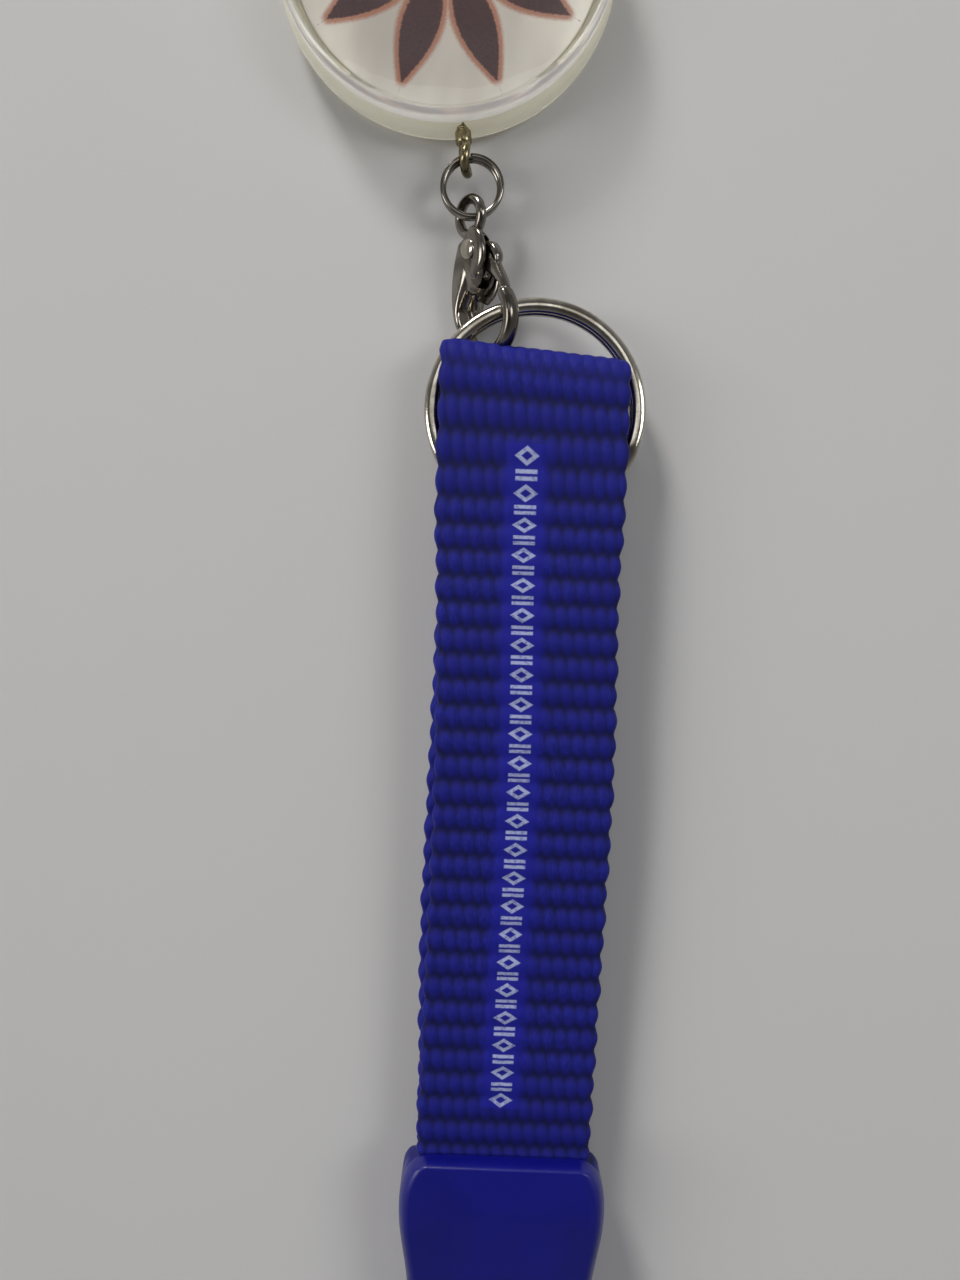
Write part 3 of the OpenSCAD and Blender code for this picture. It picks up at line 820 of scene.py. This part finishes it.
def clasp_body():
    """The cast clasp: slotted head, flank, claw and eye."""
    # claw: round the bottom of the opening, from the flank to the tip, deeper below the ring
    claw = []
    for a in np.linspace(176, 388, 20):
        t = math.radians(a)
        deep = float(hill(a, 205, 250, 305))
        deep *= 0.28
        claw.append((0.2 + 2.78 * math.cos(t), 2.78 * math.sin(t), 0.53, 0.66 + deep, -deep))
    flank = [
        (-2.46, -0.3, 0.36, 0.78, 0.1), (-2.5, 0.4, 0.36, 0.88, 0.28), (-2.48, 1.3, 0.42, 0.9, 0.3),
        (-2.2, 2.3, 0.7, 0.9, 0.3), (-1.7, 3.4, 1.0, 0.9, 0.3), (-1.15, 4.6, 1.1, 0.9, 0.25),
        (-0.7, 5.8, 0.9, 0.9, 0.2),
    ]  # fmt: skip
    head = [
        (2.9, -0.9, 1.0, 0.8), (3.5, -0.55, 1.55, 1.0), (4.4, -0.42, 1.8, 1.12), (5.3, -0.3, 1.68, 1.16),
        (6.0, -0.2, 1.42, 1.1), (6.55, -0.2, 1.06, 0.92), (6.88, -0.26, 0.74, 0.66),
        (7.0, -0.3, 0.5, 0.46),
    ]  # fmt: skip
    cheek = [
        (0.2, 3.5, 0.35, 0.3, 0.82), (0.85, 4.3, 0.65, 0.32, 0.84), (1.05, 5.3, 0.78, 0.34, 0.84),
        (0.85, 6.2, 0.75, 0.32, 0.82), (0.4, 6.85, 0.5, 0.28, 0.78),
    ]  # fmt: skip
    palm = [
        (-2.1, 0.6, 0.2, 0.6, -0.7), (-2.05, 1.4, 0.26, 0.8, -0.75), (-1.6, 2.5, 0.45, 0.85, -0.78),
        (-0.7, 3.45, 0.65, 0.85, -0.78), (0.3, 3.85, 0.6, 0.8, -0.72), (0.95, 3.95, 0.3, 0.6, -0.65),
    ]  # fmt: skip
    # cupped web behind the opening, clear of the gate and of the ring's wire
    web = [
        (-1.05, 1.85, 0.85, 0.15, -0.8), (-0.6, 2.45, 1.25, 0.18, -0.86), (-0.15, 3.1, 1.4, 0.2, -0.88),
        (0.25, 3.8, 1.25, 0.22, -0.86), (0.4, 4.4, 0.9, 0.2, -0.82),
    ]  # fmt: skip
    # the lever's slot in the head, open to the right
    slot = [
        (4, 2), (4, 6.1), (1, 6.35), (0.9, 6.7),
        (-0.75, 6.4), (-1.05, 5.2), (-1.05, 3.9), (-1.1, 2.6),
    ]  # fmt: skip
    ob = raw(*bulge(head))
    boolean(ob, loft([[(u, v, w) for u, v in slot] for w in (-0.5, 0.5)]), "DIFFERENCE")
    slotted = [tuple(v.co) for v in ob.data.vertices], [tuple(p.vertices) for p in ob.data.polygons]
    bpy.data.objects.remove(ob)
    t = np.linspace(0, 2 * math.pi, 48, endpoint=False)
    ring = np.stack([EYE[0] + EYE_R * np.cos(t), EYE[1] + EYE_R * np.sin(t), 0 * t], -1)
    eye = sweep(ring, (0, 0, 1), (0.42, 0.42), wrap=True)
    # each arm with how square its section is
    arms = [(claw, 2.6), (flank, 3.2), (palm, 3.0), (cheek, 2.6), (web, 3.0)]
    return blended([slotted, *(strand(points, 8, power) for points, power in arms), eye], 0.06, 5)


def clasp_lever():
    """The gate, its round root on the rivet and its thumb tab."""
    gate = [
        (2.68, 1.72, 0.34, 0.48, 0), (2.54, 2.4, 0.4, 0.46, 0), (1.88, 3.5, 0.64, 0.46, 0),
        (1.2, 4.5, 0.95, 0.43, 0), (0.45, 5.4, 0.85, 0.42, 0),
    ]  # fmt: skip
    disc = revolve([(0, -0.42), (0.72, -0.42), (0.8, -0.34), (0.8, 0.34), (0.72, 0.42), (0, 0.42)], 32)
    disc = disc[0] + (PIVOT[0], PIVOT[1], 0), disc[1]
    # thumb tab
    tab = [
        (1.2, 5.55, 0.3, 0.42, 0), (1.9, 5.2, 0.36, 0.42, 0),
        (2.3, 4.5, 0.32, 0.42, 0), (2.35, 4.0, 0.2, 0.4, 0),
    ]  # fmt: skip
    return blended([strand(gate), disc, strand(tab, 8, 3.0)], 0.06, 4)


def rivet():
    """A pin with a low dome at each end."""
    dome = [(0.78 * math.cos(a), 1.26 + 0.24 * math.sin(a)) for a in np.linspace(0, 1.4, 8)]
    half = [(0.5, 1.19), (0.76, 1.2)] + dome
    profile = [(0, -1.5)] + [(r, -z) for r, z in half[::-1]] + half + [(0, 1.5)]
    verts, faces = revolve([(r, z * 0.9 + 0.05) for r, z in profile], 40)
    return raw(verts + (PIVOT[0], PIVOT[1], 0), faces)


for shape, name, finish, body, node, slot, sharp in (
    (clasp_body, "clasp_body_skin", DARK_NICKEL, "clasp", "clasp_body", "dark_nickel", None),
    (clasp_lever, "clasp_lever_skin", DARK_NICKEL, "lever", "clasp_lever", "dark_nickel", None),
    (rivet, "clasp_rivet_skin", NICKEL, "clasp", "clasp_rivet", "nickel", 40),
):
    finished(shape(), name, finish, body, node, PLACE_CLASP, sharp)
# the leaf spring is hidden in the head: the CAD's own shape, in steel
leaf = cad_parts["clasp_spring"]
leaf.data.materials.clear()
leaf.data.materials.append(STEEL)


# ---------------------------------------------------------------- charm


def screw_eye():
    """A loop, a threaded shank and a collar against the charm's edge. +Y runs into the charm."""
    t = np.linspace(0, 2 * math.pi, 64, endpoint=False)
    path = np.stack([0.13 * np.sin(2 * t), 1.13 * np.sin(t), 1.13 * np.cos(t)], -1)
    loop = sweep(path, (1, 0, 0), (0.3, 0.36), wrap=True, steps=20)
    shank = []
    for k in range(181):
        y = 1.15 + 5.25 * k / 180
        tip = min(1.0, (6.5 - y) / 0.7)
        ring = []
        for a in np.linspace(0, 2 * math.pi, 24, endpoint=False):
            r = (0.44 + 0.06 * math.cos(a - 2 * math.pi * y / 0.45)) * tip if y > 1.8 else 0.46
            ring.append((r * math.cos(a), y, r * math.sin(a)))
        shank.append(ring)
    collar = [(0, 1.12), (0.5, 1.12), (0.62, 1.2), (0.66, 1.32), (0.66, 2.1), (0.6, 2.22), (0, 2.22)]
    verts, faces = revolve(collar, 40)
    collar = verts[:, [0, 2, 1]], faces
    return raw(*several([loop, loft(shank), collar]))


def base_profile():
    """The charm's thick base, with a rounded rim and a recess for the sheet."""
    rim = np.radians(np.linspace(-86, 90, 23))
    curve = [(12.3 + 1.4 * math.cos(a), 1.7 + 1.69 * math.sin(a)) for a in rim]
    return [(0, 0.005), (6, 0.005)] + curve + [(12.27, 3.08), (6, 3.08), (0, 3.08)]


def dome_profile():
    """The charm's front, crowned, with a round shoulder."""
    bend = np.radians(np.linspace(0, 84, 11))
    shoulder = [(12.7 + 0.72 * math.cos(a), 1.17 + 0.72 * math.sin(a)) for a in bend]
    crown = [(12.4 * i / 8, 2.0 - 0.1 * (i / 8) ** 2) for i in range(7, 0, -1)]
    # the sheet is bonded to the dome: it reaches 0.015 mm into it
    seat = [(0, -0.04), (6, -0.04), (12.1, -0.04), (12.2, 0.015)]
    return seat + [(13.1, 0.015), (13.3, 0.12), (13.42, 0.4)] + shoulder + crown + [(0, 2.0)]


def leaning(x, y, z):
    """A place in the frame, turned as the charm lies."""
    return Matrix.Translation((x, y, z)) @ Matrix.Rotation(math.radians(CHARM_LEAN), 4, "Z")


CARD = [
    (0, 3.12), (6, 3.12), (12.1, 3.12), (12.18, 3.16),
    (12.18, 3.34), (12.1, 3.375), (6, 3.375), (0, 3.375),
]  # fmt: skip
AT_SCREW, AT_CHARM = leaning(*SCREW_C), leaning(*CHARM_C)
AT_DOME = leaning(CHARM_C[0], CHARM_C[1], BASE_H)
finished(screw_eye(), "screw_eye_skin", BRASS, "charm", "screw_eye", AT_SCREW, sharp=50)
for profile, finish, place, node, slot, sharp in (
    (base_profile(), CLEAR_BASE, AT_CHARM, "charm_base", "clear_acrylic", 40),
    (dome_profile(), CLEAR_DOME, AT_DOME, "charm_dome", "clear_acrylic", 60),
    (CARD, PRINT, AT_CHARM, "charm_sheet", "print_sheet", 40),
):
    finished(raw(*revolve(profile, 160)), node + "_skin", finish, "charm", node, place, sharp)


# ---------------------------------------------------------------- floor, light, camera


def floor():
    """A plain pale table."""
    f = Finish("floor_pale")
    cloud = f.noise(f.place(), 0.004, 3.0)
    f.done(
        f.surface(
            Base_Color=f.mix(cloud, srgb(196, 194, 192), srgb(204, 203, 202)),
            Roughness=0.85,
            Specular_IOR_Level=0.12,
        ).outputs[0]
    )
    me = bpy.data.meshes.new("floor")
    me.from_pydata([(-3, -3, -2e-5), (3, -3, -2e-5), (3, 3, -2e-5), (-3, 3, -2e-5)], [], [(0, 1, 2, 3)])
    me.materials.append(f.mat)
    ob = bpy.data.objects.new("floor", me)
    bpy.context.scene.collection.objects.link(ob)


def lamp(name, where, aim, size, power, colour=(1, 1, 1), beam=180):
    """A rectangular softbox. beam is the angle that it lights, in degrees."""
    data = bpy.data.lights.new(name, "AREA")
    data.shape = "RECTANGLE"
    data.size, data.size_y = size
    data.energy = power
    data.color = colour
    data.spread = math.radians(beam)
    ob = bpy.data.objects.new(name, data)
    ob.location = where
    direction = Vector(np.subtract(aim, where))
    ob.rotation_euler = direction.to_track_quat("-Z", "Y").to_euler()
    bpy.context.scene.collection.objects.link(ob)


def studio():
    """A world that is darker overhead, for the metal and the clear plastic to reflect."""
    world = bpy.data.worlds.new("studio")
    bpy.context.scene.world = world
    world.use_nodes = True
    tree = world.node_tree
    tree.nodes.clear()
    out = tree.nodes.new("ShaderNodeOutputWorld")
    sky = tree.nodes.new("ShaderNodeBackground")
    ramp = tree.nodes.new("ShaderNodeValToRGB")
    split = tree.nodes.new("ShaderNodeSeparateXYZ")
    coords = tree.nodes.new("ShaderNodeTexCoord")
    tree.links.new(coords.outputs["Generated"], split.inputs[0])
    tree.links.new(split.outputs[2], ramp.inputs[0])
    tree.links.new(ramp.outputs[0], sky.inputs[0])
    tree.links.new(sky.outputs[0], out.inputs[0])
    sky.inputs[1].default_value = 0.36
    low, high = ramp.color_ramp.elements
    low.position, low.color = 0.0, (0.75, 0.75, 0.77, 1)
    high.position, high.color = 1.0, (0.16, 0.16, 0.17, 1)
    ramp.color_ramp.elements.new(0.55).color = (0.6, 0.6, 0.62, 1)


def camera():
    """Above the strap's upper half, wide, and tipped a little."""
    data = bpy.data.cameras.new("camera")
    data.lens = 27.03
    data.sensor_width = 36
    data.clip_start, data.clip_end = 0.004, 20
    ob = bpy.data.objects.new("camera", data)
    ob.location = (-0.00373, 0.06046, 0.08271)
    ob.rotation_euler = (math.radians(-3.55), 0, math.radians(2.1))
    bpy.context.scene.collection.objects.link(ob)
    bpy.context.scene.camera = ob
    bpy.context.scene.view_settings.view_transform = "Standard"


floor()
centre = (0, 0.06, 0)
# the key lamp's narrow beam keeps it off the floor below it
lamp("key", (-0.27, 0.66, 0.3), (-0.005, 0.09, 0), (0.15, 0.18), 0.27, (1.0, 0.99, 0.97), beam=50)
lamp("fill", (0.45, 0.2, 0.5), centre, (0.2, 0.3), 1.2, (0.96, 0.98, 1.0))
lamp("top", (0.0, 0.23, 0.55), (0, 0.08, 0), (0.3, 0.14), 0.14)
lamp("left", (-0.55, 0.05, 0.4), centre, (0.2, 0.4), 1.2)

studio()
camera()
